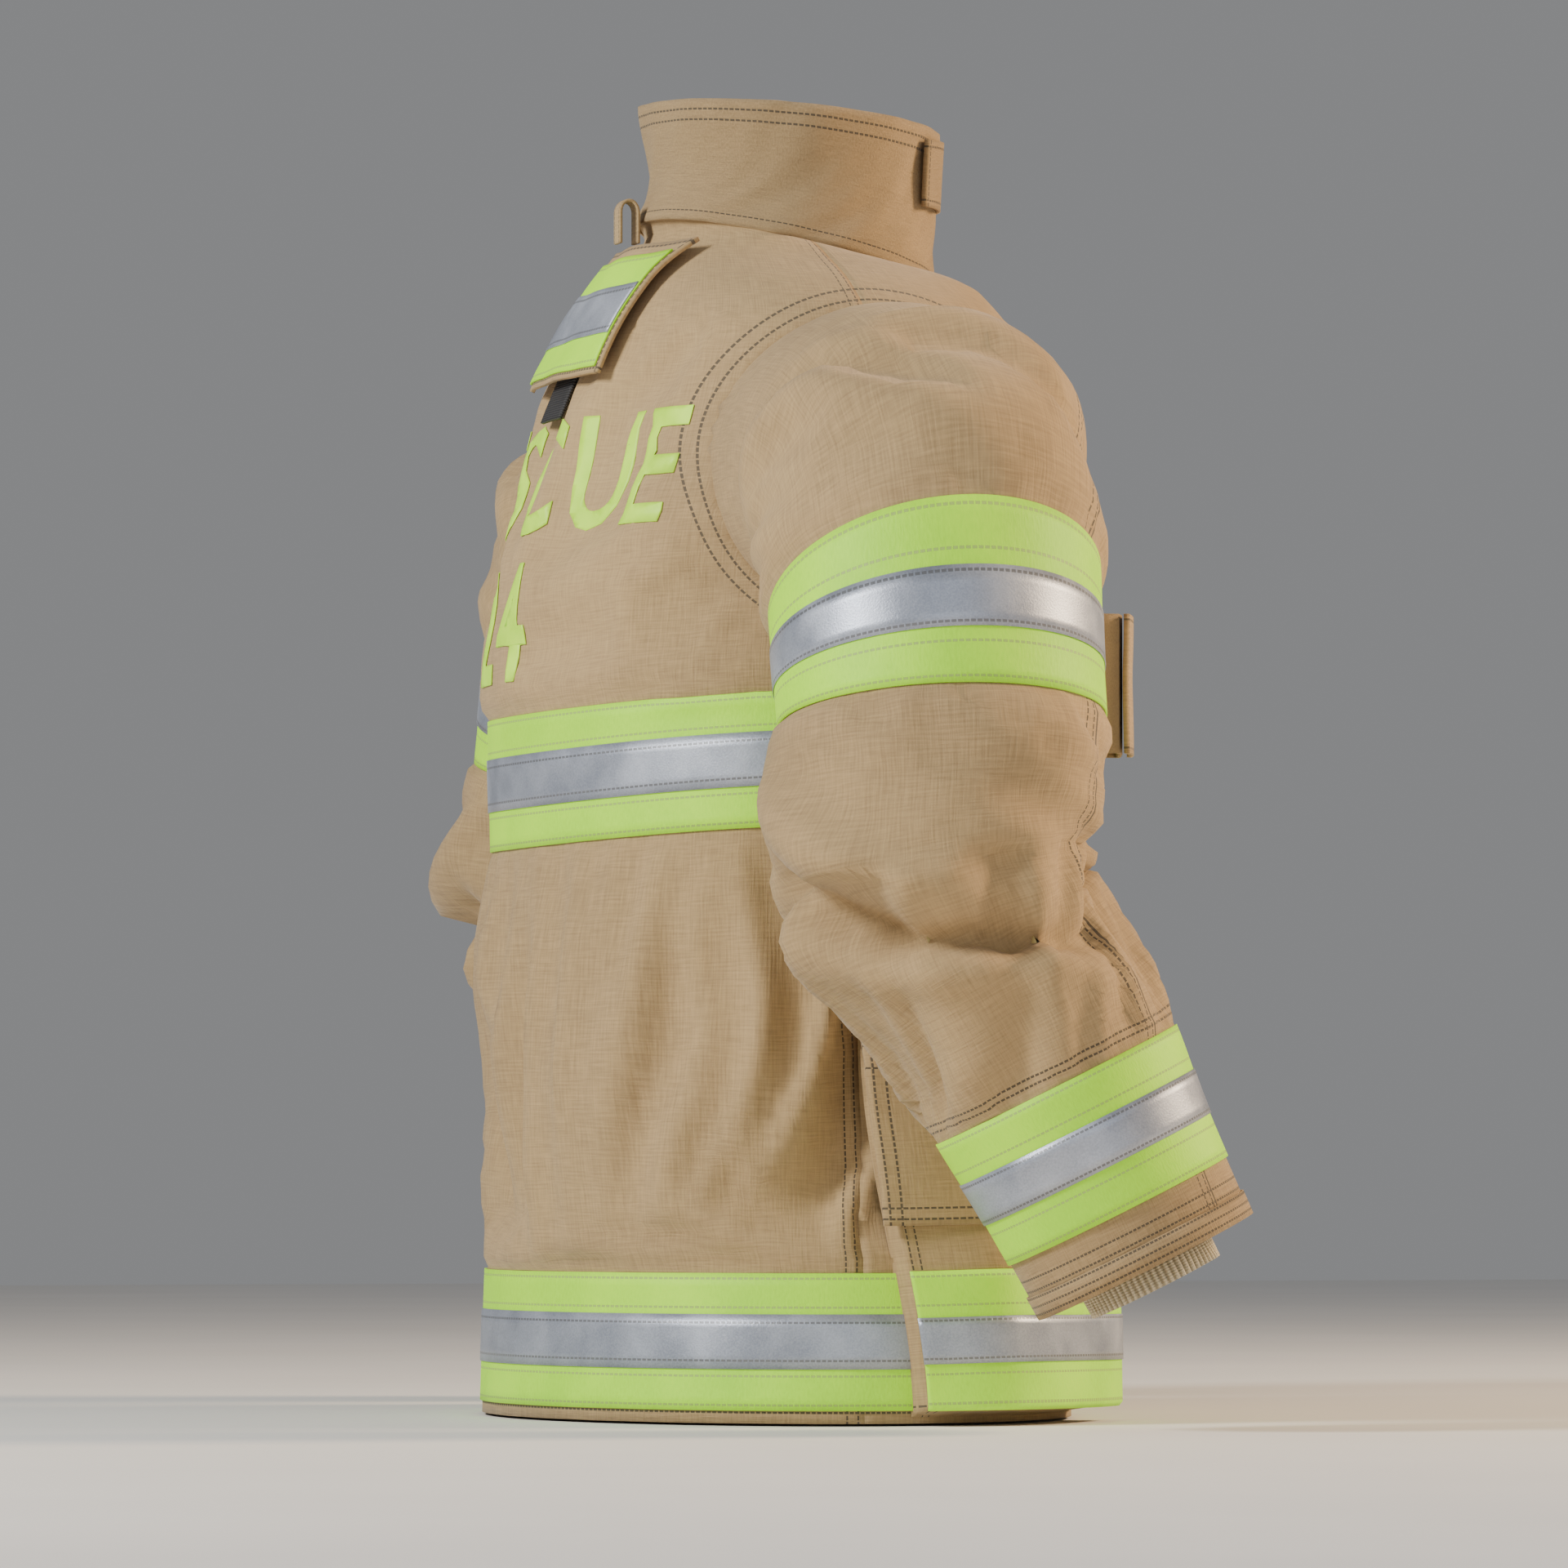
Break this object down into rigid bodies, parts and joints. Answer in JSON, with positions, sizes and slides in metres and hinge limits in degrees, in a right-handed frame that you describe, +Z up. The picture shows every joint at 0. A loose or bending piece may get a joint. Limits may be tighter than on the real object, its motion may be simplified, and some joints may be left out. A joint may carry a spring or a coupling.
{
  "type": "turnout coat",
  "caption": "Firefighter's turnout coat in worn shape, with stand-up collar, jointed sleeves, reflective bands, box pockets and a storm flap.",
  "frame": {"origin": "where a coat hook bears, inside the top of the hang loop behind the collar", "axes": "+Z up, -Y the wearer's front, -X the wearer's right"},
  "size_m": [0.851, 0.3612, 0.7565],
  "materials": {
    "shell_cloth": "woven aramid, matt",
    "lime_tape": "fluorescent tape, matt",
    "silver_stripe": "glass-bead retroreflective",
    "liner": "quilted",
    "barrier": "smooth film on cloth",
    "black_tape": "hook-and-loop and webbing",
    "knit": "rib knit",
    "brass_hardware": "dulled"
  },
  "bodies": {
    "coat_body": {"back_panel": "shell_cloth", "chest_silver": "silver_stripe", "chest_trim": "lime_tape", "collar_lining": "black_tape", "collar_shell": "shell_cloth", "drag_strap": "black_tape", "flashlight_cover": "shell_cloth", "flashlight_hook_tape": "black_tape", "flashlight_strap": "shell_cloth", "front_loop_strip": "black_tape", "hang_loop": "shell_cloth", "hem_silver": "silver_stripe", "hem_trim": "lime_tape", "hook_tab": "shell_cloth", "left_front_panel": "shell_cloth", "left_pocket": "shell_cloth", "mic_tab": "shell_cloth", "moisture_barrier": "barrier", "radio_pocket": "shell_cloth", "right_front_panel": "shell_cloth", "right_pocket": "shell_cloth", "thermal_liner": "liner", "zipper_tapes": "black_tape", "zipper_teeth": "brass_hardware"},
    "storm_flap": {"storm_flap": "shell_cloth", "storm_flap_hook_strip": "black_tape", "storm_flap_trim": "lime_tape", "storm_flap_silver": "silver_stripe"},
    "zipper_slider": {"zipper_slider": "brass_hardware", "zipper_pull": "brass_hardware"},
    "right_pocket_flap": {"right_pocket_flap": "shell_cloth"},
    "left_pocket_flap": {"left_pocket_flap": "shell_cloth"},
    "radio_pocket_flap": {"radio_pocket_flap": "shell_cloth"},
    "drag_flap": {"drag_flap": "shell_cloth", "drag_flap_trim": "lime_tape", "drag_flap_silver": "silver_stripe"},
    "throat_tab": {"throat_tab": "shell_cloth"},
    "snap_hook": {"snap_hook": "brass_hardware"},
    "snap_gate": {"snap_gate": "brass_hardware"},
    "right_upper_sleeve": {"right_upper_sleeve": "shell_cloth", "right_upper_liner": "liner", "right_upper_trim": "lime_tape", "right_upper_silver": "silver_stripe"},
    "right_forearm": {"right_lower_sleeve": "shell_cloth", "right_lower_liner": "liner", "right_cuff_trim": "lime_tape", "right_cuff_silver": "silver_stripe", "right_cuff_binding": "shell_cloth", "right_wristlet": "knit"},
    "left_upper_sleeve": {"left_upper_sleeve": "shell_cloth", "left_upper_liner": "liner", "left_upper_trim": "lime_tape", "left_upper_silver": "silver_stripe"},
    "left_forearm": {"left_lower_sleeve": "shell_cloth", "left_lower_liner": "liner", "left_cuff_trim": "lime_tape", "left_cuff_silver": "silver_stripe", "left_cuff_binding": "shell_cloth", "left_wristlet": "knit"}
  },
  "joints": [
    {"name": "right_shoulder_swing", "type": "hinge", "parent": "coat_body", "child": "right_upper_sleeve", "pos_m": [-0.224, -0.093, -0.167], "axis": [-1, 0, 0], "range_deg": [-25, 75]},
    {"name": "right_elbow_bend", "type": "hinge", "parent": "right_upper_sleeve", "child": "right_forearm", "pos_m": [-0.334, -0.087, -0.396], "axis": [-1, 0, 0], "range_deg": [-15, 45]},
    {"name": "left_shoulder_swing", "type": "hinge", "parent": "coat_body", "child": "left_upper_sleeve", "pos_m": [0.224, -0.093, -0.167], "axis": [-1, 0, 0], "range_deg": [-25, 75]},
    {"name": "left_elbow_bend", "type": "hinge", "parent": "left_upper_sleeve", "child": "left_forearm", "pos_m": [0.334, -0.087, -0.396], "axis": [-1, 0, 0], "range_deg": [-15, 45]},
    {"name": "storm_flap_open", "type": "hinge", "parent": "coat_body", "child": "storm_flap", "pos_m": [0.062, -0.25314, -0.384], "axis": [0, 0, 1], "range_deg": [0, 80]},
    {"name": "zipper_slide", "type": "slide", "parent": "coat_body", "child": "zipper_slider", "axis": [0, 0, -1], "range_m": [0, 0.457]},
    {"name": "right_pocket_flap_lift", "type": "hinge", "parent": "coat_body", "child": "right_pocket_flap", "pos_m": [-0.19677, -0.16451, -0.488], "axis": [-0.5306, 0.8476, 0], "range_deg": [0, 20]},
    {"name": "left_pocket_flap_lift", "type": "hinge", "parent": "coat_body", "child": "left_pocket_flap", "pos_m": [0.19677, -0.16451, -0.488], "axis": [-0.5306, -0.8476, 0], "range_deg": [0, 20]},
    {"name": "radio_flap_lift", "type": "hinge", "parent": "coat_body", "child": "radio_pocket_flap", "pos_m": [0.121, -0.22526, -0.186], "axis": [-0.8688, -0.4952, 0], "range_deg": [0, 80]},
    {"name": "drag_flap_lift", "type": "hinge", "parent": "coat_body", "child": "drag_flap", "pos_m": [0, 0.001, -0.034], "axis": [1, 0, 0], "range_deg": [0, 100]},
    {"name": "throat_tab_open", "type": "hinge", "parent": "coat_body", "child": "throat_tab", "pos_m": [0.06, -0.16155, 0.018], "axis": [0, 0, 1], "range_deg": [0, 110]},
    {"name": "snap_hook_swing", "type": "hinge", "parent": "coat_body", "child": "snap_hook", "pos_m": [-0.087, -0.24307, -0.1908], "axis": [-1, 0, 0], "range_deg": [0, 60]},
    {"name": "snap_gate_open", "type": "hinge", "parent": "snap_hook", "child": "snap_gate", "pos_m": [-0.0798, -0.24307, -0.2046], "axis": [0, 1, 0], "range_deg": [0, 25], "stiffness_Nm_per_rad": 0.02}
  ]
}
